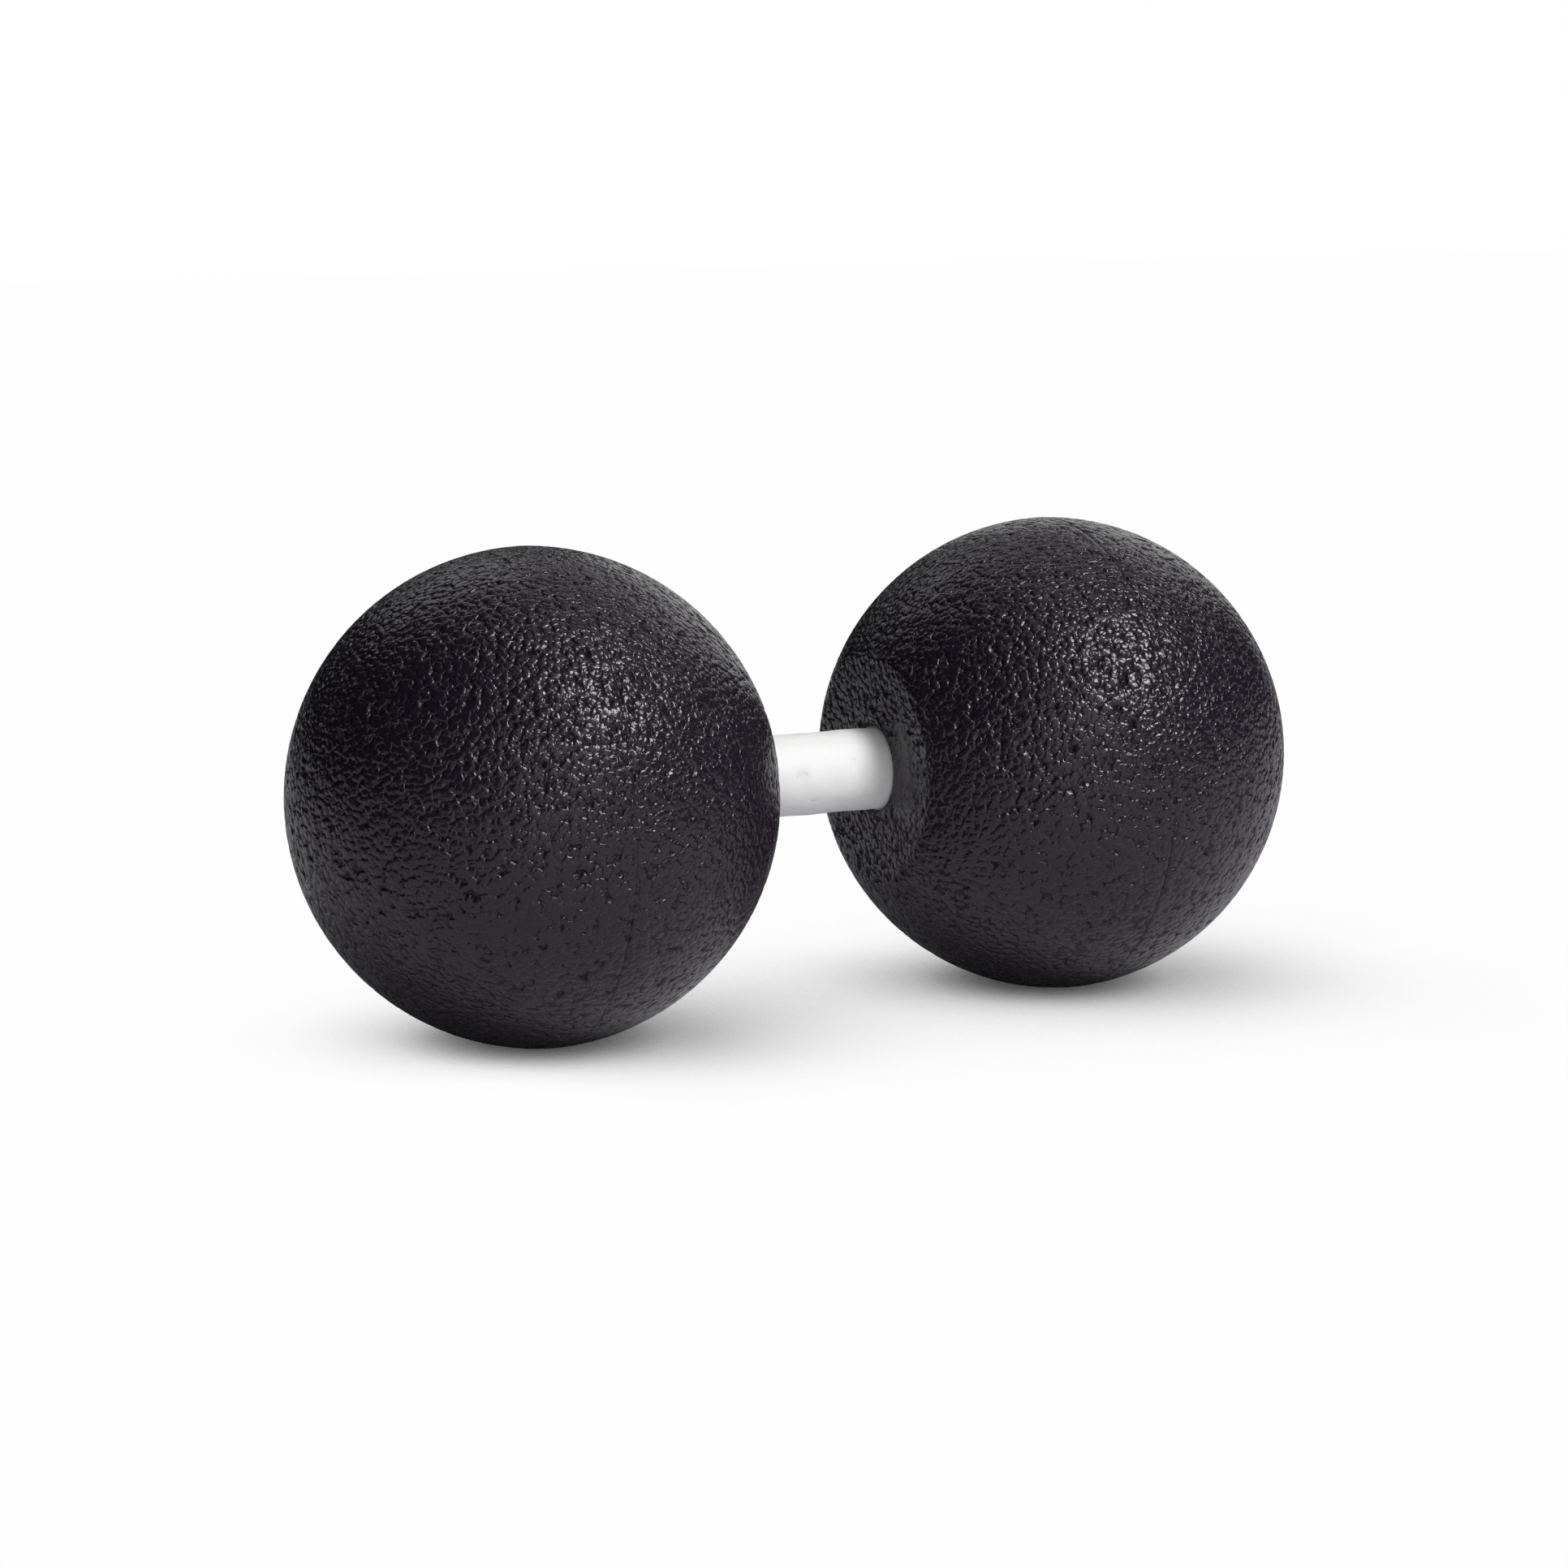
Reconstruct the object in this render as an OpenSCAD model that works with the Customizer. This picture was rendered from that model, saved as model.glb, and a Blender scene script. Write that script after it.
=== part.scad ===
// Double massage ball: two foam balls on a short rod.
// The rod lies along X, Z is up, and the origin is on the floor, midway between the balls.
// All lengths are in millimetres.

/* [Balls] */
// Diameter of each ball at its parting line
ball_d = 120; // [100:1:140]
// How much shorter a whole ball is along the rod than across it
ball_short = 2; // [0:0.5:8]
// Diameter of the flat face towards the rod, out to where its rim would be sharp
face_d = 58; // [46:1:80]
// Radius of the rounded rim of the flat face
rim_r = 5; // [1:0.5:8]

/* [Parting line] */
// Width of the groove round each ball where the halves of its mould meet
seam_w = 0.6; // [0.4:0.1:2]
// Depth of that groove
seam_depth = 0.3; // [0.1:0.1:1]

/* [Rod] */
// Diameter of the rod
rod_d = 21; // [15:0.5:30]
// Length of rod that shows between the two flat faces
rod_gap = 40; // [25:1:70]
// Chamfer round each end of the rod
rod_chamfer = 1; // [0.5:0.5:3]

/* [Bore] */
// Depth of the blind bore from the flat face to its floor, where the rod ends
bore_depth = 50; // [25:1:70]
// Glue gap between the rod and the wall of its bore
bore_gap = 0.1; // [0.05:0.05:0.3]
// Radius of the rounded mouth of the bore
mouth_r = 0.75; // [0.5:0.25:3]

/* [Hidden] */
$fn = 128;

// How far a cutting outline runs past what it cuts
past = 1;
// Arcs that round a corner are this much larger than tangent, so that they cross the two lines they join
arc_bite = 0.002;

ball_r = ball_d / 2;
face_r = face_d / 2;
bore_r = rod_d / 2 + bore_gap;

// Each half of a ball is a cap of a sphere. The cap is half_l high and ball_r in radius at its base.
half_l = (ball_d - ball_short) / 2;
dome_r = (pow(ball_r, 2) + pow(half_l, 2)) / (2 * half_l);
// The sphere's centre lies this far behind the parting plane, in the other half
dome_back = dome_r - half_l;

// Distance from the parting plane to the flat face
face_reach = sqrt(pow(dome_r, 2) - pow(face_r, 2)) - dome_back;
// Distance from the middle of the rod to each parting plane
ball_x = rod_gap / 2 + face_reach;
rod_l = rod_gap + 2 * bore_depth;
// Height of the rod's axis over the floor: the largest radius that is left beside the parting line's groove
axis_z = sqrt(pow(dome_r, 2) - pow(dome_back + seam_w / 2, 2));

// Centre of the arc that rounds the rim: rim_r above the face, and rim_r inside the dome
rim_z = rim_r - face_reach;
rim_x = sqrt(pow(dome_r - rim_r, 2) - pow(rim_z - dome_back, 2));

// The half of a ball's outline that points away from the rod.
// All outlines are turned round Z: z = 0 is the parting plane, and the flat face is at -face_reach.
module outer_half() {
    intersection() {
        translate([0, -dome_back]) circle(dome_r);
        square([2 * ball_r, 2 * ball_r]);
    }
}

// What the rounded rim takes off the corner between the flat face and the dome:
// a wedge whose tip is the centre of the rim's arc, less the arc's own circle
module rim_cut() {
    reach = (dome_r + past) / (dome_r - rim_r);
    out_x = rim_x * reach;
    out_z = dome_back + (rim_z - dome_back) * reach;
    difference() {
        polygon([
            [rim_x, rim_z],
            [rim_x, -face_reach - past],
            [out_x, -face_reach - past],
            [out_x, out_z]
        ]);
        translate([rim_x, rim_z]) circle(rim_r + arc_bite);
    }
}

// The half towards the rod, cut flat
module inner_half() {
    difference() {
        intersection() {
            translate([0, dome_back]) circle(dome_r);
            translate([0, -face_reach]) square([2 * ball_r, face_reach]);
        }
        rim_cut();
    }
}

// The blind bore with its rounded mouth
module bore_outline() {
    translate([0, -face_reach - past]) square([bore_r, bore_depth + past]);
    difference() {
        translate([0, -face_reach - past]) square([bore_r + mouth_r, mouth_r + past]);
        translate([bore_r + mouth_r, mouth_r - face_reach]) circle(mouth_r + arc_bite);
    }
}

// A V-shaped groove at the parting plane
module seam_outline() {
    spread = seam_w / 2 * (seam_depth + past) / seam_depth;
    polygon([[ball_r - seam_depth, 0], [ball_r + past, spread], [ball_r + past, -spread]]);
}

module ball() {
    rotate_extrude()
        difference() {
            union() {
                outer_half();
                inner_half();
            }
            bore_outline();
            seam_outline();
        }
}

module left_ball() {
    color([0.045, 0.04, 0.045])
        translate([-ball_x, 0, axis_z]) rotate([0, -90, 0]) ball();
}

module right_ball() {
    color([0.045, 0.04, 0.045])
        translate([ball_x, 0, axis_z]) rotate([0, 90, 0]) ball();
}

module connecting_rod() {
    color([0.9, 0.9, 0.88])
        translate([-rod_l / 2, 0, axis_z]) rotate([0, 90, 0]) {
            cylinder(h = rod_chamfer, r1 = rod_d / 2 - rod_chamfer, r2 = rod_d / 2);
            translate([0, 0, rod_chamfer]) cylinder(h = rod_l - 2 * rod_chamfer, d = rod_d);
            translate([0, 0, rod_l - rod_chamfer])
                cylinder(h = rod_chamfer, r1 = rod_d / 2, r2 = rod_d / 2 - rod_chamfer);
        }
}

left_ball();
right_ball();
connecting_rod();
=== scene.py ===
# %% [markdown]
# # A double massage ball in black foam
#
# The real object is three pieces: two balls of moulded black foam and a short white rod that is glued into
# both. The CAD model already holds each piece at its true size. This lesson gives them their looks. It sets
# up the camera, builds the grained skin of the balls and the slightly uneven rod as new surfaces worked out
# with numpy, and then gives them materials and a studio.

# %% Load the CAD frame
import math

import bmesh
import bpy
import numpy as np
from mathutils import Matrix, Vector


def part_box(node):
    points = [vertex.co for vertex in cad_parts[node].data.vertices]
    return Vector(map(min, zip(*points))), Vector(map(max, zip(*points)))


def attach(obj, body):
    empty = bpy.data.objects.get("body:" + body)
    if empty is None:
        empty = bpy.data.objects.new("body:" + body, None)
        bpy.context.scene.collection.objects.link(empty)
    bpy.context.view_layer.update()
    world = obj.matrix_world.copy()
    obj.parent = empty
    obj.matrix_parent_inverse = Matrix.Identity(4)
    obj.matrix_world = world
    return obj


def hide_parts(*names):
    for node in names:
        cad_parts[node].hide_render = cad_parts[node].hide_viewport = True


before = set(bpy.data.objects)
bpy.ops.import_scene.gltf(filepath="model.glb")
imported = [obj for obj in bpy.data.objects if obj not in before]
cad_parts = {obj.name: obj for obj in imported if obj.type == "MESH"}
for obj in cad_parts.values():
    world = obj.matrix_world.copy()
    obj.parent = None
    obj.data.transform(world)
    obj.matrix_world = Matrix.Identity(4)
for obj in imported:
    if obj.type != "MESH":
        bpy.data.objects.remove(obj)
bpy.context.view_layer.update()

# %% [markdown]
# ## Read the sizes that the CAD model fixes
#
# A corner of a node's box is a measure that can't drift from the CAD model, so everything that a box can give
# is read from it: where the rod ends, how thick it is, where the flat faces lie and how high the axis is.
# Only the sizes that no box shows are written here, with the values of the CAD model.

# %% Sizes
MM = 0.001
left_low, left_high = (np.array(corner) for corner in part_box("left_ball"))
rod_low, rod_high = (np.array(corner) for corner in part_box("connecting_rod"))

axis_z = (rod_low[2] + rod_high[2]) / 2
rod_r = (rod_high[2] - rod_low[2]) / 2
rod_end = rod_high[0]
face_x = -left_high[0]
pole_x = -left_low[0]

BALL_R = 60 * MM
BALL_SHORT = 2 * MM
RIM_R = 5 * MM
SEAM_W = 0.6 * MM
SEAM_DEPTH = 0.3 * MM
BORE_GAP = 0.1 * MM
MOUTH_R = 0.75 * MM
ROD_CHAMFER = 1 * MM

# Each half of a ball is a cap of a sphere that is a little larger than the ball.
half_l = BALL_R - BALL_SHORT / 2
dome_r = (BALL_R**2 + half_l**2) / (2 * half_l)
dome_back = dome_r - half_l
parting_x = pole_x - half_l
face_reach = parting_x - face_x
bore_r = rod_r + BORE_GAP
print(f"parting planes {parting_x / MM:.3f} mm from the middle, axis {axis_z / MM:.3f} mm up")

# %% [markdown]
# ## Put the camera where the photograph was taken
#
# The camera looks at the object from its left end and from a little above. Its place and its lens were fitted
# to the outlines of both balls, the rim of the flat face and the edges of the rod. A long lens from about a
# metre away keeps the near ball only slightly larger than the far one.

# %% Camera
VIEW_TURN = math.radians(-26.75)
VIEW_RISE = math.radians(10.02)
# These three are in metres
VIEW_DISTANCE = 0.951
AIM = Vector((-0.0038, 0.0014, 0.0576))
CLIP_START = 0.01
# The sensor and the lens are in millimetres
SENSOR_WIDTH = 36
LENS = 88.46

view_back = Vector((
    math.sin(VIEW_TURN) * math.cos(VIEW_RISE),
    -math.cos(VIEW_TURN) * math.cos(VIEW_RISE),
    math.sin(VIEW_RISE),
))
camera_data = bpy.data.cameras.new("camera")
camera_data.sensor_width = SENSOR_WIDTH
camera_data.lens = LENS
camera_data.clip_start = CLIP_START
camera = bpy.data.objects.new("camera", camera_data)
camera.location = AIM + VIEW_DISTANCE * view_back
camera.rotation_euler = view_back.to_track_quat("Z", "Y").to_euler()
bpy.context.collection.objects.link(camera)
bpy.context.scene.camera = camera
print("camera at", [round(v, 4) for v in camera.location])

# %% [markdown]
# ## Numbers that look random
#
# The skin of the foam has a grain like leather: pebbles a little over a millimetre and a half wide with
# narrow creases between them. Such a pattern starts from numbers that look random but always come out the
# same. The relief is needed twice, once here to move the points of the mesh, and once in the material, where
# a bump carries what is finer than the mesh, and both have to fall on the same creases. So the functions here
# repeat Blender's own Noise Texture and Voronoi Texture, down to the way that these nodes scramble their
# numbers.

# %% Scrambled numbers
HASH_BASE = 0xDEADBEEF + 13
LARGEST = 0xFFFFFFFF
# The columns that take part in each step, which are used in turn, and how far bits are turned in it
LAST_COLUMNS = ((2, 1), (0, 2), (1, 0))
LAST_TURNS = (14, 11, 25, 16, 4, 14, 24)
FIRST_COLUMNS = ((0, 2, 1), (1, 0, 2), (2, 1, 0))
FIRST_TURNS = (4, 6, 8, 16, 19, 4)


def hash_start(count):
    """The number from which the mixing of count numbers starts."""
    return HASH_BASE + 4 * count


def rotate_bits(value, count):
    """The 32 bits of each number, turned left by count places."""
    return (value << np.uint32(count)) | (value >> np.uint32(32 - count))


def last_mix(mix):
    """Three columns of numbers become one: seven times over, one of them is crossed with another and has that
    one's turned bits taken away."""
    for step, turn in enumerate(LAST_TURNS):
        changed, other = LAST_COLUMNS[step % 3]
        mix[changed] = (mix[changed] ^ mix[other]) - rotate_bits(mix[other], turn)
    return mix[2]


def first_mix(mix):
    """Six times over, one of the three columns has another taken away and is crossed with that one's turned
    bits, and that other one gets the third added."""
    for step, turn in enumerate(FIRST_TURNS):
        changed, other, third = FIRST_COLUMNS[step % 3]
        mix[changed] = (mix[changed] - mix[other]) ^ rotate_bits(mix[other], turn)
        mix[other] = mix[other] + mix[third]


# %% [markdown]
# ## Gradient noise
#
# Gradient noise gives each corner of a lattice a slope in a direction that looks random, and blends the
# slopes of the eight corners round a point. It has one size of bump and no direction of its own.

# %% Gradient noise
# Blender multiplies the blended slopes by this
NOISE_GAIN = 0.982


def corner_number(corner):
    """A number that looks random for each corner of the lattice."""
    return last_mix([(v + hash_start(3)).astype(np.uint32) for v in corner.T])


def corner_slope(number, x, y, z):
    """What a corner adds at an offset of x, y and z: one of twelve slopes, picked by the corner's number."""
    pick = number & np.uint32(15)
    u = np.where(pick < 8, x, y)
    v = np.where(pick < 4, y, np.where((pick == 12) | (pick == 14), x, z))
    return np.where(pick & 1, -u, u) + np.where(pick & 2, -v, v)


def gradient_noise(points, scale):
    """Noise between 0 and 1 at each point. In each cell of the lattice, the slopes of the eight corners are
    blended by the smooth step 6t^5 - 15t^4 + 10t^3 along each axis."""
    place = points * scale
    cell = np.floor(place).astype(np.int64)
    part = place - cell
    blend = part**3 * (part * (part * 6 - 15) + 10)
    total = np.zeros(len(points))
    for corner in np.ndindex(2, 2, 2):
        share = np.prod(np.where(corner, blend, 1 - blend), axis=1)
        number = corner_number(cell + corner)
        total += share * corner_slope(number, *(part - corner).T)
    return 0.5 + 0.5 * NOISE_GAIN * total


def smooth_step(value, low, high):
    """0 below low, 1 above high, and the curve 3t^2 - 2t^3 between them."""
    t = np.clip((value - low) / (high - low), 0, 1)
    return t * t * (3 - 2 * t)


# %% [markdown]
# ## The grain as pebbles
#
# A Voronoi pattern puts one middle somewhere in each cell of a lattice, and measures how far a point is from
# the nearest one. The cube of that distance makes pebbles with flat tops that meet in sharp creases, so the
# tops catch the light together and the sides catch it one by one. Their outlines are too regular for leather,
# so noise first pushes every point a little sideways, which bends the creases. A larger noise fills the
# creases up in places, and that breaks them into dashes.

# %% Grain
PEBBLE_SIZE = 1.6 * MM
PUSH_SIZE = 1.5 * MM
PUSH_REACH = 1.2 * MM
# The noises that push along x, y and z are read this far apart, so that they differ
PUSH_SHIFTS = ((0, 0, 0), (50 * MM, 0, 0), (0, 50 * MM, 0))
PATCH_SIZE = 3 * MM
PATCH_FILL = 0.5
PATCH_EDGES = (0.35, 0.6)
PEBBLE_POWER = 3.0
GRAIN_DEPTH = 0.4 * MM


def pebble_middle(cell):
    """Where the pebble of each cell has its middle, as three numbers that look random: the first is mixed
    from the bits of the cell's place, and the other two also take in a 1 and a 2."""
    columns = []
    for extra in (0, 1, 2):
        start = np.uint32(hash_start(4 if extra else 3))
        mix = [v.astype(np.float32).view(np.uint32) + start for v in cell.T]
        if extra:
            first_mix(mix)
            mix[0] = mix[0] + np.float32(extra).view(np.uint32)
        columns.append(last_mix(mix) / LARGEST)
    return cell + np.stack(columns, axis=1)


def pebble_distance(points, scale):
    """Distance from each point to the nearest pebble's middle, in cells of the lattice. That middle is in the
    point's own cell or in one of the 26 round it."""
    place = points * scale
    cell = np.floor(place)
    nearest = np.full(len(points), np.inf)
    for step in np.ndindex(3, 3, 3):
        gap = pebble_middle(cell + np.array(step) - 1) - place
        nearest = np.minimum(nearest, (gap**2).sum(axis=1))
    return np.sqrt(nearest)


def grain_height(points):
    """Height of the grain: 1 - f d^3, where d is the distance to the nearest pebble's middle, and f is 1 or
    less where the patches fill the creases."""
    push = [gradient_noise(points + np.array(shift), 1 / PUSH_SIZE) for shift in PUSH_SHIFTS]
    pushed = points + PUSH_REACH * (np.stack(push, axis=1) - 0.5)
    distance = pebble_distance(pushed, 1 / PEBBLE_SIZE)
    full = 1 - PATCH_FILL * (1 - smooth_step(gradient_noise(points, 1 / PATCH_SIZE), *PATCH_EDGES))
    return 1 - full * distance**PEBBLE_POWER


# %% [markdown]
# ## Put a grid into a mesh
#
# Every new piece is a set of points and a set of four-sided faces, both worked out as whole arrays. Blender
# takes such arrays in one call each, which is far faster than adding points one by one.

# %% Mesh from arrays


def mesh_piece(name, points, quads):
    """A smooth-shaded object from points (n, 3) and quads (m, 4)."""
    mesh = bpy.data.meshes.new(name)
    mesh.vertices.add(len(points))
    mesh.vertices.foreach_set("co", points.astype(np.float32).ravel())
    mesh.loops.add(quads.size)
    mesh.loops.foreach_set("vertex_index", quads.astype(np.int32).ravel())
    mesh.polygons.add(len(quads))
    mesh.polygons.foreach_set("loop_start", np.arange(0, quads.size, 4, dtype=np.int32))
    mesh.update(calc_edges=True)
    mesh.validate()
    mesh.shade_smooth()
    piece = bpy.data.objects.new(name, mesh)
    bpy.context.collection.objects.link(piece)
    print(f"{name}: {len(points)} points, {2 * len(quads)} triangles")
    return piece


def point_attribute(piece, name, values):
    """Stores one number for each point of a piece, for its material to read."""
    layer = piece.data.attributes.new(name, "FLOAT", "POINT")
    layer.data.foreach_set("value", values.astype(np.float32))


# %% [markdown]
# ## The outline of a ball
#
# A ball is round about the rod, so its whole shape is one outline that is turned round the rod's axis. The
# outline starts at the outer pole, runs over the dome to the parting line, dips into the narrow groove that
# the mould left there, runs on over the second dome, and rounds the rim of the flat face. It then crosses
# that face, rounds the mouth of the bore and ends in the middle of the bore's floor. Each stretch is an arc or
# a line with its own number of steps, 0.8 mm or less each on the skin and longer in the bore, where nothing
# shows.

# %% Outline of a ball
CAP_RINGS = 70
BAND_STEPS = 50
RIM_STEPS = 4
FACE_STEPS = 22
MOUTH_STEPS = 3
BORE_STEPS = 6
FLOOR_STEPS = 5
# Angle from the parting plane at which the rings of an end meet the band in the middle
CAP_EDGE = math.radians(39)
QUARTER = math.pi / 2
FULL_TURN = 4 * QUARTER

rim_z = RIM_R - face_reach
rim_x = math.sqrt((dome_r - RIM_R) ** 2 - (rim_z - dome_back) ** 2)


def arc(centre, radius, start, end, steps):
    """Points of a circle from the angle start to the angle end, without the first. An angle of 0 points away
    from the axis, and a quarter turn points to the outer pole."""
    turn = np.linspace(start, end, steps + 1)[1:]
    return np.stack([centre[0] + radius * np.cos(turn), centre[1] + radius * np.sin(turn)], axis=1)


def line(start, end, steps):
    """Even steps along a straight line, without its first point."""
    share = np.linspace(0, 1, steps + 1)[1:, None]
    return (1 - share) * np.array(start) + share * np.array(end)


def ball_outline():
    """Distance from the axis and distance from the parting plane, for each station from the outer pole to the
    middle of the bore's floor."""
    lip_turn = math.asin((dome_back + SEAM_W / 2) / dome_r)
    lip_r = dome_r * math.cos(lip_turn)
    rim_turn = math.atan2(rim_z - dome_back, rim_x)
    floor_z = rod_end - parting_x
    rings_past_dome = RIM_STEPS + FACE_STEPS + MOUTH_STEPS + BORE_STEPS + FLOOR_STEPS
    mouth_centre = (bore_r + MOUTH_R, MOUTH_R - face_reach)
    return np.concatenate([
        [(0, half_l)],
        arc((0, -dome_back), dome_r, QUARTER, CAP_EDGE, CAP_RINGS),
        arc((0, -dome_back), dome_r, CAP_EDGE, lip_turn, BAND_STEPS),
        [(BALL_R - SEAM_DEPTH, 0), (lip_r, -SEAM_W / 2)],
        arc((0, dome_back), dome_r, -lip_turn, -CAP_EDGE, BAND_STEPS),
        arc((0, dome_back), dome_r, -CAP_EDGE, rim_turn, CAP_RINGS - rings_past_dome),
        arc((rim_x, rim_z), RIM_R, rim_turn, -QUARTER, RIM_STEPS),
        line((rim_x, -face_reach), (mouth_centre[0], -face_reach), FACE_STEPS),
        arc(mouth_centre, MOUTH_R, -QUARTER, -2 * QUARTER, MOUTH_STEPS),
        line((bore_r, mouth_centre[1]), (bore_r, floor_z), BORE_STEPS),
        line((bore_r, floor_z), (0, floor_z), FLOOR_STEPS),
    ])


outline = ball_outline()
print(f"the outline has {len(outline)} stations and is widest at {outline[:, 0].max() / MM:.3f} mm")

# %% [markdown]
# ## A grid that has even steps all over a ball
#
# A grid of meridians would crowd its points at the poles. Here the middle of the ball is a band of rows and
# columns, and each end is a square grid that is bent until its squares are circles. A square of the end grid
# that is k steps from the middle has 8 k points, so the points stay about equally far apart, and the rings
# still follow the rim, the mouth of the bore and the groove.

# %% Grid of a ball
COLUMNS = 8 * CAP_RINGS


def end_grid():
    """Ring and turn for each point of a square grid: the ring is the larger of the two distances from the
    middle, and the turn runs evenly round the square of that ring."""
    steps = np.arange(-CAP_RINGS, CAP_RINGS + 1)
    across, up = np.meshgrid(steps, steps)
    ring = np.maximum(abs(across), abs(up))
    wide = abs(across) >= abs(up)
    safe = np.where(ring == 0, 1, np.where(wide, across, up))
    # The sides of the square have their middles at 0, 2, 4 and 6 eighths of a turn
    eighths = np.where(wide, up / safe + 4 * (across < 0), 2 - across / safe + 4 * (up < 0))
    return ring, eighths * QUARTER / 2


def grid_quads(index):
    """The four point numbers round each cell of a grid of point numbers."""
    return np.stack([index[:-1, :-1], index[:-1, 1:], index[1:, 1:], index[1:, :-1]], axis=-1).reshape(-1, 4)


def ball_grid():
    """Station and turn of every point of a ball, and its quads. The outer end comes first, then the band and
    the inner end, and each end shares its last ring with the band."""
    ring, turn = end_grid()
    inside = ring < CAP_RINGS
    end_points = inside.sum()
    rows = len(outline) - 2 * CAP_RINGS
    band_row, band_column = np.mgrid[0:rows, 0:COLUMNS]
    band = 2 * end_points + band_row * COLUMNS + band_column
    rim_column = np.rint(turn * COLUMNS / FULL_TURN).astype(int) % COLUMNS

    def end_index(first_point, band_edge):
        index = band_edge[rim_column]
        index[inside] = first_point + np.arange(end_points)
        return index

    outer = end_index(0, band[0])
    inner = end_index(end_points, band[-1])
    station = np.concatenate([ring[inside], len(outline) - 1 - ring[inside], (band_row + CAP_RINGS).ravel()])
    angle = np.concatenate([turn[inside], turn[inside], (band_column * FULL_TURN / COLUMNS).ravel()])
    band_closed = np.concatenate([band, band[:, :1]], axis=1)
    quads = np.concatenate([grid_quads(outer), grid_quads(inner)[:, ::-1], grid_quads(band_closed)[:, ::-1]])
    return station, angle, quads


ball_station, ball_turn, ball_quads = ball_grid()

# %% [markdown]
# ## The two balls
#
# Both balls are the same moulding, turned so that their flat faces look at each other. The grain is pressed
# inwards along the surface's own normal, so a ball never grows past its CAD size, and it ends at the mouth of
# the bore. The far ball has a smooth patch beside the rod, on the side of the camera. Two numbers stay with
# each point for the material to read: how deep the grain is there, and whether it lies in the parting line.

# %% Balls
# Middle of the smooth patch from the rod's axis, and half its size, in y and z
SMOOTH_PLACE = (-14.5 * MM, 0)
SMOOTH_HALF = (6 * MM, 14 * MM)
SMOOTH_GRAIN = 0.35
# The patch fades out between these shares of its half size, and between these depths behind the flat face
SMOOTH_EDGES = (0.75, 1.1)
SMOOTH_DEPTHS = (1 * MM, 2 * MM)
GROOVE_STATION = CAP_RINGS + BAND_STEPS + 1


def outline_normals(stations):
    """The outward normal at each station: the outline's own direction, turned by a quarter."""
    along = np.gradient(stations, axis=0)
    along[0], along[-1] = (1, 0), (-1, 0)
    normal = np.stack([-along[:, 1], along[:, 0]], axis=1)
    return normal / np.linalg.norm(normal, axis=1, keepdims=True)


normals = outline_normals(outline)


def grain_weight(points, side):
    """How deep the grain is at each point, from 0 in the bore to 1 on the open skin."""
    first_in_bore = len(outline) - MOUTH_STEPS - BORE_STEPS - FLOOR_STEPS
    weight = (ball_station < first_in_bore).astype(float)
    if side > 0:
        away = (points[:, 1:] - (SMOOTH_PLACE[0], SMOOTH_PLACE[1] + axis_z)) / SMOOTH_HALF
        behind_face = smooth_step(points[:, 0], face_x + SMOOTH_DEPTHS[0], face_x + SMOOTH_DEPTHS[1])
        beside_patch = smooth_step(np.linalg.norm(away, axis=1), *SMOOTH_EDGES)
        weight *= SMOOTH_GRAIN + (1 - SMOOTH_GRAIN) * np.maximum(behind_face, beside_patch)
    return weight


def ball_points(side):
    """Points of the ball on the right (side 1) or the left (side -1), before the grain, and their normals."""
    radius, reach = outline[ball_station].T
    radial, axial = normals[ball_station].T
    turned = np.stack([np.cos(ball_turn), np.sin(ball_turn)], axis=1)
    points = np.column_stack([side * (parting_x + reach), radius[:, None] * turned])
    points[:, 2] += axis_z
    return points, np.column_stack([side * axial, radial[:, None] * turned])


def make_ball(name, node, side):
    """A grained ball that stands for the CAD node."""
    smooth, outward = ball_points(side)
    weight = grain_weight(smooth, side)
    depth = GRAIN_DEPTH * weight * (1 - grain_height(smooth))
    quads = ball_quads if side > 0 else ball_quads[:, ::-1]
    ball = mesh_piece(name, smooth - outward * depth[:, None], quads)
    point_attribute(ball, "grain", weight)
    point_attribute(ball, "groove", ball_station == GROOVE_STATION)
    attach(ball, "root")
    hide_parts(node)
    return ball


left_skin = make_ball("left_ball_skin", "left_ball", -1)
right_skin = make_ball("right_ball_skin", "right_ball", 1)

# %% [markdown]
# ## The rod
#
# The rod is plain and white, but it isn't a perfect cylinder: its surface has shallow dents, some a
# centimetre wide and others a few millimetres, and small wrinkles run along it where it enters a ball. It is
# a grid of columns round the axis and rows along it, closed at both ends by the chamfer and a disc. In the
# grid, the middle of a disc is a whole ring of points in one place, so these are merged afterwards. The dents
# are only where the rod shows, so it keeps its true thickness inside the bores.

# %% Rod
ROD_COLUMNS = 240
ROD_ROWS_SHOWN = 130
ROD_ROWS_HIDDEN = 8
# Width and depth of the large dents, and of the small ones
DENTS = ((11 * MM, 0.55 * MM), (4 * MM, 0.22 * MM))
WRINKLE_SIZE = 2.2 * MM
WRINKLE_LENGTH = 4.5 * MM
WRINKLE_DEPTH = 0.45 * MM
MERGE_REACH = 0.0001 * MM


def rod_stations():
    """Place along the axis and radius for each ring, from one end to the other."""
    half = np.concatenate([
        np.linspace(0, face_x + MOUTH_R, ROD_ROWS_SHOWN // 2 + 1),
        np.linspace(face_x + MOUTH_R, rod_end - ROD_CHAMFER, ROD_ROWS_HIDDEN + 1)[1:],
        [rod_end],
    ])
    place = np.concatenate([-half[:0:-1], half])
    radius = np.where(abs(place) < rod_end - ROD_CHAMFER / 2, rod_r, rod_r - ROD_CHAMFER)
    return place, radius


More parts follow.
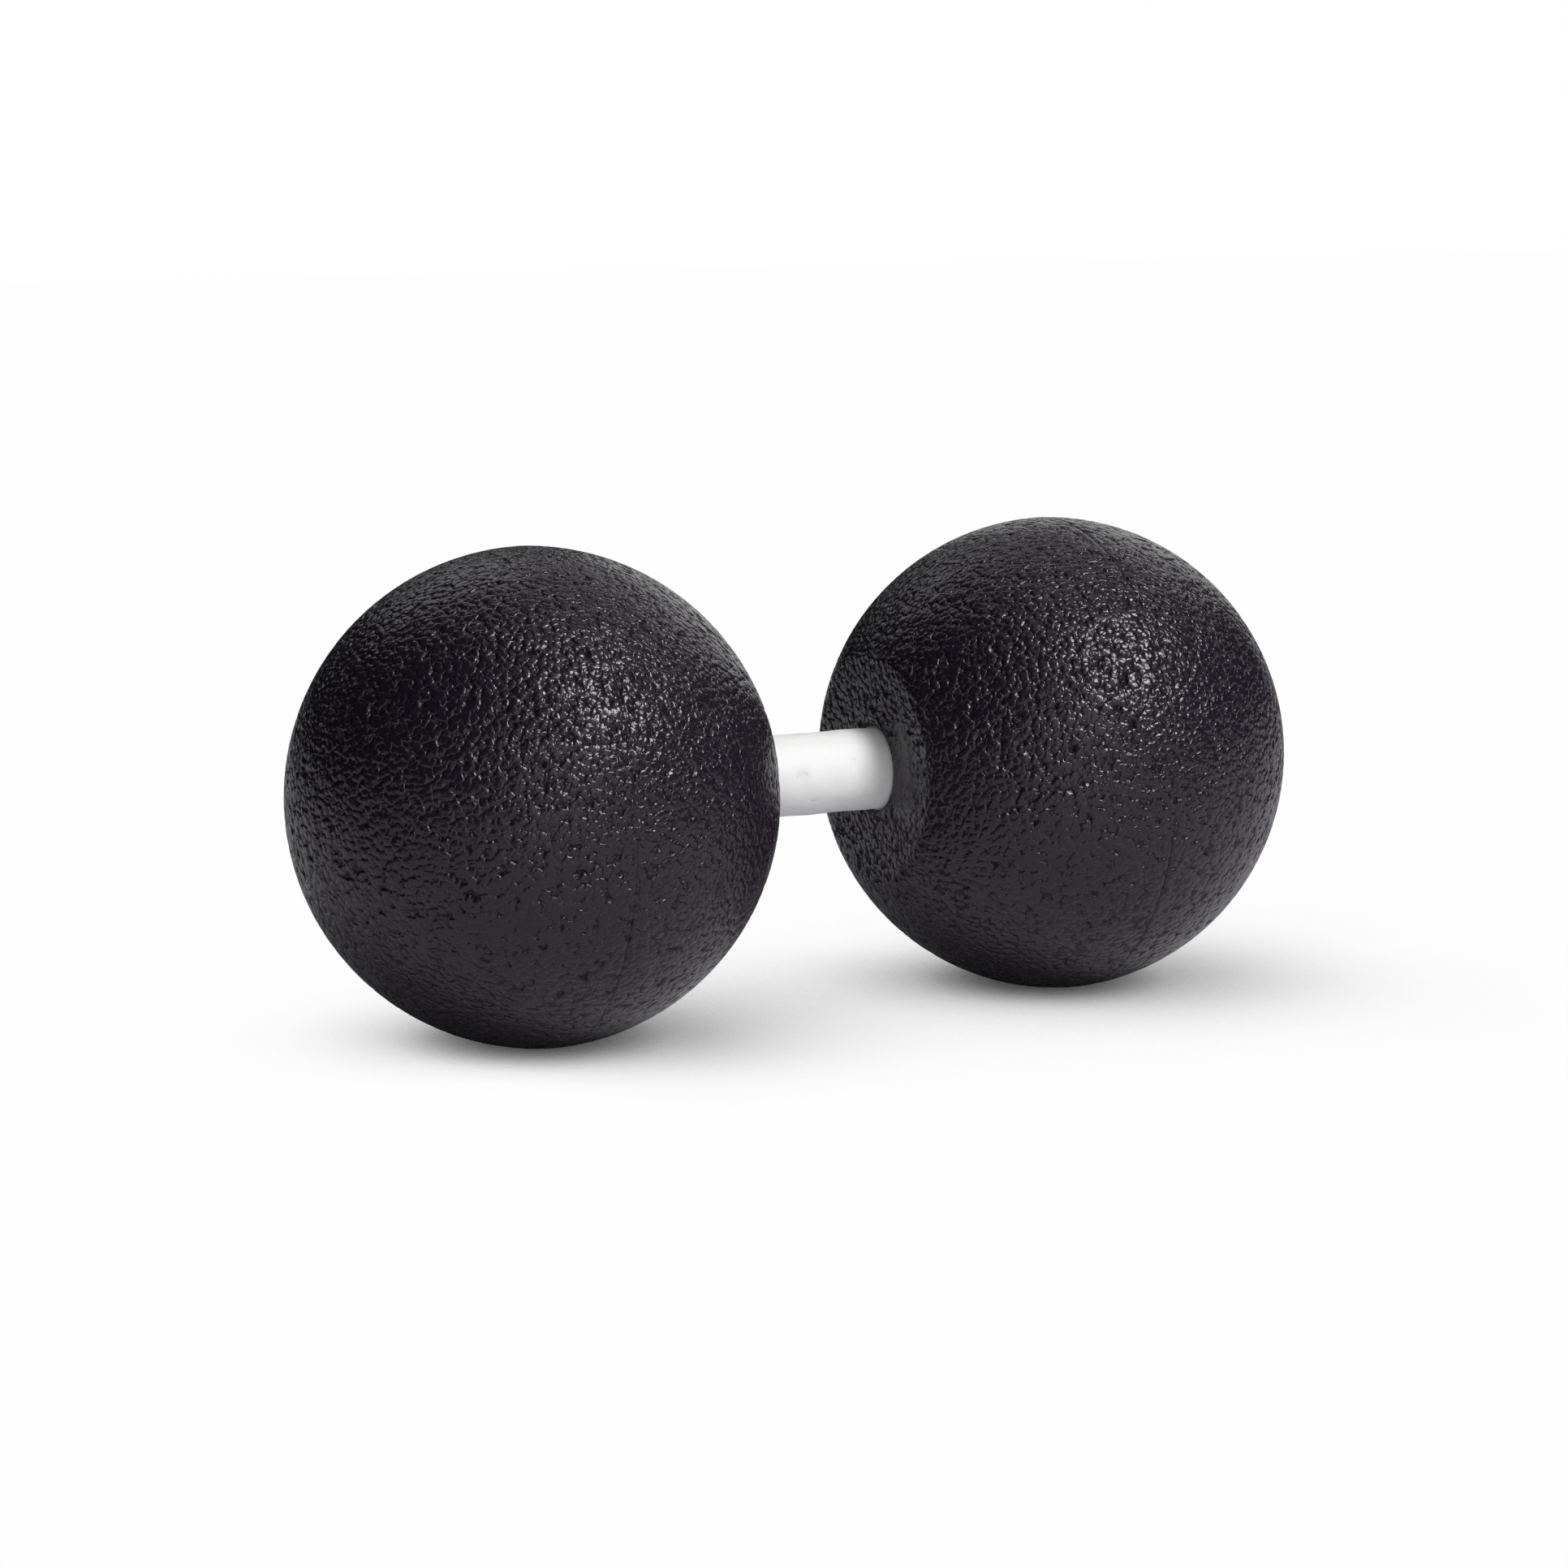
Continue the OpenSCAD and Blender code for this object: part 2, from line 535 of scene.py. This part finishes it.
def rod_dents(points):
    """How far the rod is drawn in at each point: noise times depth for both sizes of dents, and the wrinkles,
    which are the lower half of a noise that doesn't change along the rod."""
    dent = sum(depth * gradient_noise(points, 1 / size) for size, depth in DENTS)
    round_rod = gradient_noise(points * (0, 1, 1), 1 / WRINKLE_SIZE)
    near_ball = smooth_step(abs(points[:, 0]), face_x - WRINKLE_LENGTH, face_x)
    dent += WRINKLE_DEPTH * near_ball * np.clip(0.5 - round_rod, 0, 0.5)
    return dent * (1 - smooth_step(abs(points[:, 0]), face_x, face_x + MOUTH_R))


def merge_ends(piece):
    """Joins the points that lie in one place, so that each end closes in a fan of triangles."""
    shape = bmesh.new()
    shape.from_mesh(piece.data)
    bmesh.ops.remove_doubles(shape, verts=shape.verts, dist=MERGE_REACH)
    shape.to_mesh(piece.data)
    shape.free()
    print(f"{piece.name}: {len(piece.data.vertices)} points after its ends are merged")


def make_rod():
    """The uneven rod: each ring is drawn in by the dents, and the ring at each end has no width at all."""
    place, radius = rod_stations()
    turn = np.arange(ROD_COLUMNS) * FULL_TURN / ROD_COLUMNS
    place = np.concatenate([place[:1], place, place[-1:]])
    radius = np.concatenate([[0], radius, [0]])
    row, column = np.mgrid[0:len(place), 0:ROD_COLUMNS]
    across = radius[row] * np.cos(turn[column])
    up = radius[row] * np.sin(turn[column])
    points = np.stack([place[row], across, up], axis=-1).reshape(-1, 3)
    points[:, 1:] *= 1 - (rod_dents(points) / rod_r)[:, None]
    points[:, 2] += axis_z
    index = row * ROD_COLUMNS + column
    quads = grid_quads(np.concatenate([index, index[:, :1]], axis=1))
    rod = mesh_piece("rod_surface", points, quads)
    merge_ends(rod)
    return rod


rod_skin = make_rod()
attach(rod_skin, "root")
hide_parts("connecting_rod")

# %% [markdown]
# ## A node group for pebbled skin
#
# The material needs the same grain as the mesh, and much finer. A node group holds it once, with the sizes as
# its inputs, so that the foam can use it for its deep grain and the rod for its faint creases. The group adds
# one thing that the mesh is too coarse for: a fine noise on top of the pebbles.

# %% Helpers for nodes


def add_node(tree, kind, inputs=None, **settings):
    """A node of a kind, with its settings and with values for its inputs."""
    node = tree.nodes.new(kind)
    for key, value in settings.items():
        setattr(node, key, value)
    for key, value in (inputs or {}).items():
        node.inputs[key].default_value = value
    return node


def math_node(tree, operation, first, second):
    """A Math node whose inputs are numbers or the outputs of other nodes."""
    node = add_node(tree, "ShaderNodeMath", operation=operation)
    for slot, value in enumerate((first, second)):
        if isinstance(value, (int, float)):
            node.inputs[slot].default_value = value
        else:
            tree.links.new(value, node.inputs[slot])
    return node.outputs[0]


def vector_node(tree, operation, first, second, slot=1):
    """A Vector Math node of two inputs, where the second is a fixed vector or the output of another node."""
    node = add_node(tree, "ShaderNodeVectorMath", operation=operation)
    tree.links.new(first, node.inputs[0])
    if isinstance(second, tuple):
        node.inputs[slot].default_value = second
    else:
        tree.links.new(second, node.inputs[slot])
    return node.outputs[0]


def noise_node(tree, place, scale, detail=0.0):
    """A Noise Texture of one size, read at a place."""
    node = add_node(tree, "ShaderNodeTexNoise", {"Detail": detail})
    tree.links.new(place, node.inputs["Vector"])
    tree.links.new(scale, node.inputs["Scale"])
    return node.outputs["Fac"]


def range_node(tree, value, low, high, start, end, kind="LINEAR"):
    """A Map Range node: start at the value low and below, end at high and above."""
    limits = {"From Min": low, "From Max": high, "To Min": start, "To Max": end}
    node = add_node(tree, "ShaderNodeMapRange", limits, interpolation_type=kind)
    tree.links.new(value, node.inputs["Value"])
    return node.outputs["Result"]


# %% Pebbled skin group
SKIN_SIZES = (
    "Pebble Scale", "Push Scale", "Push Reach", "Patch Scale", "Patch Fill", "Fine Scale", "Fine Height",
)
# The fine noise, and later the breaks in the parting line, have one more noise of half the size added
NOISE_DETAIL = 1.0


def pebbled_skin_group():
    """Height of the grain, with the same formula as in grain_height, and the fine noise added to it."""
    group = bpy.data.node_groups.new("pebbled skin", "ShaderNodeTree")
    group.interface.new_socket("Vector", in_out="INPUT", socket_type="NodeSocketVector")
    for name in SKIN_SIZES:
        group.interface.new_socket(name, in_out="INPUT", socket_type="NodeSocketFloat")
    group.interface.new_socket("Height", in_out="OUTPUT", socket_type="NodeSocketFloat")
    given = group.nodes.new("NodeGroupInput").outputs
    result = group.nodes.new("NodeGroupOutput").inputs
    place = given["Vector"]
    push = add_node(group, "ShaderNodeCombineXYZ")
    for slot, shift in enumerate(PUSH_SHIFTS):
        noise = noise_node(group, vector_node(group, "ADD", place, shift), given["Push Scale"])
        group.links.new(math_node(group, "SUBTRACT", noise, 0.5), push.inputs[slot])
    pushed = vector_node(group, "SCALE", push.outputs["Vector"], given["Push Reach"], slot="Scale")
    cells = add_node(group, "ShaderNodeTexVoronoi")
    group.links.new(vector_node(group, "ADD", place, pushed), cells.inputs["Vector"])
    group.links.new(given["Pebble Scale"], cells.inputs["Scale"])
    depth = math_node(group, "POWER", cells.outputs["Distance"], PEBBLE_POWER)
    patch_noise = noise_node(group, place, given["Patch Scale"])
    patch = range_node(group, patch_noise, *PATCH_EDGES, 1.0, 0.0, "SMOOTHSTEP")
    full = math_node(group, "SUBTRACT", 1.0, math_node(group, "MULTIPLY", patch, given["Patch Fill"]))
    pebbles = math_node(group, "SUBTRACT", 1.0, math_node(group, "MULTIPLY", full, depth))
    fine_noise = noise_node(group, place, given["Fine Scale"], NOISE_DETAIL)
    fine = math_node(group, "SUBTRACT", fine_noise, 0.5)
    height = math_node(group, "ADD", pebbles, math_node(group, "MULTIPLY", fine, given["Fine Height"]))
    group.links.new(height, result["Height"])
    return group


pebbled_skin = pebbled_skin_group()


def place_skin(tree, *sizes):
    """The group in a material, read at Object coordinates, with its own value for each size. It gives the
    height."""
    skin = add_node(tree, "ShaderNodeGroup", node_tree=pebbled_skin)
    tree.links.new(add_node(tree, "ShaderNodeTexCoord").outputs["Object"], skin.inputs["Vector"])
    for name, value in zip(SKIN_SIZES, sizes):
        skin.inputs[name].default_value = value
    return skin.outputs["Height"]


# %% [markdown]
# ## The black foam
#
# Foam beads that are pressed in a hot mould get a closed skin. It is nearly black with a slight purple tint,
# and satin where light strikes it. The creases are duller than the pebbles, and their darker colour is painted
# shade for the little light that gets in. The groove of the parting line gets the same painted shade, a thin
# dark line that comes and goes.

# %% Black foam
FOAM_COLOUR = (0.0112, 0.0076, 0.0134, 1)
# Painted shade: the dark colour that the creases and the groove of the parting line get
CREASE_SHADE_COLOUR = (0.003, 0.002, 0.0035, 1)
CREASE_HEIGHTS = (0.35, 0.8)
FOAM_ROUGHNESS = 0.27
CREASE_ROUGHNESS = 0.55
FOAM_IOR = 1.5
FOAM_TINT = (1, 0.97, 1, 1)
GRAIN_BUMP = 0.95 * MM
FINE_SIZE = 0.5 * MM
FINE_HEIGHT = 0.09
LINE_BREAK_SIZE = 7 * MM
LINE_BREAK_EDGES = (0.45, 0.55)


def empty_material(name):
    """A material without any nodes, and its tree."""
    material = bpy.data.materials.new(name)
    material.use_nodes = True
    material.node_tree.nodes.clear()
    return material, material.node_tree


def new_material(name):
    """A material, its tree and its shader, which is linked to the output."""
    material, tree = empty_material(name)
    shader = add_node(tree, "ShaderNodeBsdfPrincipled")
    output = add_node(tree, "ShaderNodeOutputMaterial")
    tree.links.new(shader.outputs["BSDF"], output.inputs["Surface"])
    return material, tree, shader


def mix_colours(tree, mask, first, second, shader):
    """The first colour where the mask is 0 and the second where it is 1, as the shader's base colour."""
    colour = add_node(tree, "ShaderNodeMix", data_type="RGBA")
    colour.inputs["A"].default_value = first
    colour.inputs["B"].default_value = second
    tree.links.new(mask, colour.inputs["Factor"])
    tree.links.new(colour.outputs["Result"], shader.inputs["Base Color"])


def add_bump(tree, height, depth, shader):
    """A bump whose heights from 0 to 1 stand for a depth in metres, as the shader's normal."""
    bump = add_node(tree, "ShaderNodeBump", {"Distance": depth})
    tree.links.new(height, bump.inputs["Height"])
    tree.links.new(bump.outputs["Normal"], shader.inputs["Normal"])


def foam_material():
    """Grained black foam."""
    material, tree, shader = new_material("black foam")
    height = place_skin(tree, 1 / PEBBLE_SIZE, 1 / PUSH_SIZE, PUSH_REACH, 1 / PATCH_SIZE, PATCH_FILL,
                        1 / FINE_SIZE, FINE_HEIGHT)
    weight = add_node(tree, "ShaderNodeAttribute", attribute_name="grain").outputs["Fac"]
    groove = add_node(tree, "ShaderNodeAttribute", attribute_name="groove").outputs["Fac"]
    breaks = add_node(tree, "ShaderNodeTexNoise", {"Scale": 1 / LINE_BREAK_SIZE, "Detail": NOISE_DETAIL})
    tree.links.new(add_node(tree, "ShaderNodeTexCoord").outputs["Object"], breaks.inputs["Vector"])
    unbroken = range_node(tree, breaks.outputs["Fac"], *LINE_BREAK_EDGES, 0.0, 1.0)
    # Painted shade along the groove of the parting line, broken into dashes
    painted_groove_shade = math_node(tree, "MULTIPLY", groove, unbroken)
    low = math_node(tree, "MULTIPLY", range_node(tree, height, *CREASE_HEIGHTS, 1.0, 0.0), weight)
    painted_crease_shade = math_node(tree, "MAXIMUM", low, painted_groove_shade)
    # Painted shade: where the mask is high, the base colour turns to the dark crease colour
    mix_colours(tree, painted_crease_shade, FOAM_COLOUR, CREASE_SHADE_COLOUR, shader)
    add_bump(tree, math_node(tree, "MULTIPLY", height, weight), GRAIN_BUMP, shader)
    # The same mask also makes the creases duller, which is the foam's own roughness
    roughness = range_node(tree, painted_crease_shade, 0.0, 1.0, FOAM_ROUGHNESS, CREASE_ROUGHNESS)
    tree.links.new(roughness, shader.inputs["Roughness"])
    shader.inputs["IOR"].default_value = FOAM_IOR
    shader.inputs["Specular Tint"].default_value = FOAM_TINT
    return material


foam = foam_material()
for skin in (left_skin, right_skin):
    skin.data.materials.append(foam)

# %% [markdown]
# ## The white rod
#
# The rod is matt white. The same group, with cells of several millimetres that are pushed about much further,
# gives it the faint creases of a crumpled skin, most of them filled up again, and paints them a light grey as
# shade. White plastic lets light a few millimetres in, so its shaded side stays pale, and the shader's
# subsurface scattering does the same.

# %% White rod
ROD_COLOUR = (0.92, 0.92, 0.91, 1)
# Painted shade: the light grey that the rod's creases get
ROD_CREASE_SHADE_COLOUR = (0.88, 0.88, 0.87, 1)
ROD_CREASE_HEIGHTS = (0.15, 0.6)
ROD_ROUGHNESS = 0.6
ROD_CELL = 4.5 * MM
ROD_PUSH_SIZE = 2.5 * MM
ROD_PUSH_REACH = 4 * MM
ROD_PATCH_FILL = 0.7
ROD_FINE_SIZE = 1 * MM
ROD_FINE_HEIGHT = 0.15
ROD_BUMP = 0.35 * MM
# Share of the light that gets into the rod, how far it gets, and that it is the same for all colours
ROD_GLOW_SHARE = 0.7
ROD_GLOW = 7 * MM
ROD_GLOW_COLOURS = (1, 1, 1)


def rod_material():
    """Matt white with faint creases, which get a light grey painted shade."""
    material, tree, shader = new_material("white rod")
    height = place_skin(tree, 1 / ROD_CELL, 1 / ROD_PUSH_SIZE, ROD_PUSH_REACH, 1 / ROD_CELL, ROD_PATCH_FILL,
                        1 / ROD_FINE_SIZE, ROD_FINE_HEIGHT)
    painted_crease_shade = range_node(tree, height, *ROD_CREASE_HEIGHTS, 1.0, 0.0)
    # Painted shade: the rod's creases turn light grey
    mix_colours(tree, painted_crease_shade, ROD_COLOUR, ROD_CREASE_SHADE_COLOUR, shader)
    add_bump(tree, height, ROD_BUMP, shader)
    shader.inputs["Roughness"].default_value = ROD_ROUGHNESS
    shader.inputs["Subsurface Weight"].default_value = ROD_GLOW_SHARE
    shader.inputs["Subsurface Radius"].default_value = ROD_GLOW_COLOURS
    shader.inputs["Subsurface Scale"].default_value = ROD_GLOW
    return material


rod_skin.data.materials.append(rod_material())

# %% [markdown]
# ## The studio
#
# The photograph shows the object on pure white, with a soft shadow under each ball. To the lamps and to the
# object, the floor here is pale matt paint. The camera alone sees it as white that fades to grey only where
# the balls cover much of the sky above a point, which is the shadow of light that comes from all sides. There
# are three such shadows. For the long one, the sky is measured about a line that leans far to the left, so it
# reaches out to the right. The middle one is the dark core under each ball, and its line leans towards the
# front of the floor, so that the floor there stays white, as in the photograph. The short one darkens the
# last centimetre and a half around the points where the balls touch the floor.

# %% Floor and world
WHITE = (1, 1, 1, 1)
FLOOR_SIZE = 8
FLOOR_WHITE = 0.99
FLOOR_PAINT = (0.78, 0.765, 0.8, 1)
# Strength of the world as light, and as the camera sees it
WORLD_LIGHT = 0.01
WORLD_SHOWN = 1.0
SHADOW_SAMPLES = 7
# Line that the sky is measured about, reach in metres, gain and power of each shadow
SHADOWS = (
    ((-1.62, 0.04, 1.0), 0.24, 1.52, 1.32),
    ((0.35, -0.6, 1.0), 0.09, 2.1, 0.75),
    ((-0.2, -0.5, 1.0), 0.014, 2.1, 1.1),
)


def shadow(tree, lean, reach, gain, power):
    """Open share of the sky about a leaning line, times the gain, cut off at 1 and raised to the power."""
    leaning = add_node(tree, "ShaderNodeCombineXYZ", dict(zip("XYZ", lean)))
    sky = add_node(tree, "ShaderNodeAmbientOcclusion", {"Distance": reach}, samples=SHADOW_SAMPLES)
    tree.links.new(leaning.outputs["Vector"], sky.inputs["Normal"])
    share = range_node(tree, sky.outputs["AO"], 0.0, 1 / gain, 0.0, 1.0)
    return math_node(tree, "POWER", share, power)


def floor_material():
    """Pale paint for every ray but the camera's, which sees white with a soft shadow."""
    material, tree = empty_material("floor")
    paint = add_node(tree, "ShaderNodeBsdfDiffuse", {"Color": FLOOR_PAINT})
    light = FLOOR_WHITE
    for values in SHADOWS:
        light = math_node(tree, "MULTIPLY", shadow(tree, *values), light)
    shown = add_node(tree, "ShaderNodeEmission", {"Color": WHITE})
    tree.links.new(light, shown.inputs["Strength"])
    choice = add_node(tree, "ShaderNodeMixShader")
    seen = add_node(tree, "ShaderNodeLightPath").outputs["Is Camera Ray"]
    tree.links.new(seen, choice.inputs["Fac"])
    tree.links.new(paint.outputs[0], choice.inputs[1])
    tree.links.new(shown.outputs[0], choice.inputs[2])
    output = add_node(tree, "ShaderNodeOutputMaterial")
    tree.links.new(choice.outputs[0], output.inputs["Surface"])
    return material


corners = np.array([(-1, -1, 0), (1, -1, 0), (1, 1, 0), (-1, 1, 0)]) * FLOOR_SIZE / 2
floor = mesh_piece("floor", corners, np.array([[0, 1, 2, 3]]))
floor.data.materials.append(floor_material())


def studio_world():
    """White for the camera, and a very weak light for everything else."""
    world = bpy.data.worlds.new("studio")
    world.use_nodes = True
    tree = world.node_tree
    tree.nodes.clear()
    sky = add_node(tree, "ShaderNodeBackground", {"Color": WHITE})
    seen = add_node(tree, "ShaderNodeLightPath").outputs["Is Camera Ray"]
    strength = add_node(tree, "ShaderNodeMix", data_type="FLOAT")
    strength.inputs["A"].default_value = WORLD_LIGHT
    strength.inputs["B"].default_value = WORLD_SHOWN
    tree.links.new(seen, strength.inputs["Factor"])
    tree.links.new(strength.outputs["Result"], sky.inputs["Strength"])
    output = add_node(tree, "ShaderNodeOutputWorld")
    tree.links.new(sky.outputs[0], output.inputs["Surface"])
    bpy.context.scene.world = world


studio_world()

# %% [markdown]
# ## The lamps
#
# One strong softbox stands high in front, to the right of the middle. Six weak ones stand over the object, in
# front of it, at its right and behind it, and bring out the grain where the strong one doesn't reach.

# %% Lamps
# Name, place and width in metres, and strength in watts
SOFTBOXES = (
    ("key softbox", (0.58, -1.2, 1.546), 0.6, 31.5),
    ("top softbox", (0.0, -0.208, 1.038), 0.5, 0.6),
    ("wide front softbox", (-0.3, -1.2, 0.45), 0.9, 2.7),
    ("right softbox", (0.709, 0.41, 0.634), 0.5, 0.62),
    ("high back softbox", (0.287, 0.497, 0.879), 0.5, 0.55),
    ("back right softbox", (0.629, 0.749, 0.268), 0.5, 0.85),
    ("back softbox", (0, 0.819, 0.634), 0.5, 0.65),
)


def softbox(name, place, size, strength):
    """A square lamp that looks at the middle of the object."""
    lamp = bpy.data.lights.new(name, "AREA")
    lamp.shape = "SQUARE"
    lamp.size = size
    lamp.energy = strength
    box = bpy.data.objects.new(name, lamp)
    box.location = place
    box.rotation_euler = (Vector(place) - Vector((0, 0, axis_z))).to_track_quat("Z", "Y").to_euler()
    bpy.context.collection.objects.link(box)


for values in SOFTBOXES:
    softbox(*values)

# %% [markdown]
# ## Finish
#
# The new surfaces must not be larger than the CAD model. The scene ends with the Standard view transform.

# %% Finish
bpy.context.scene.view_settings.view_transform = "Standard"
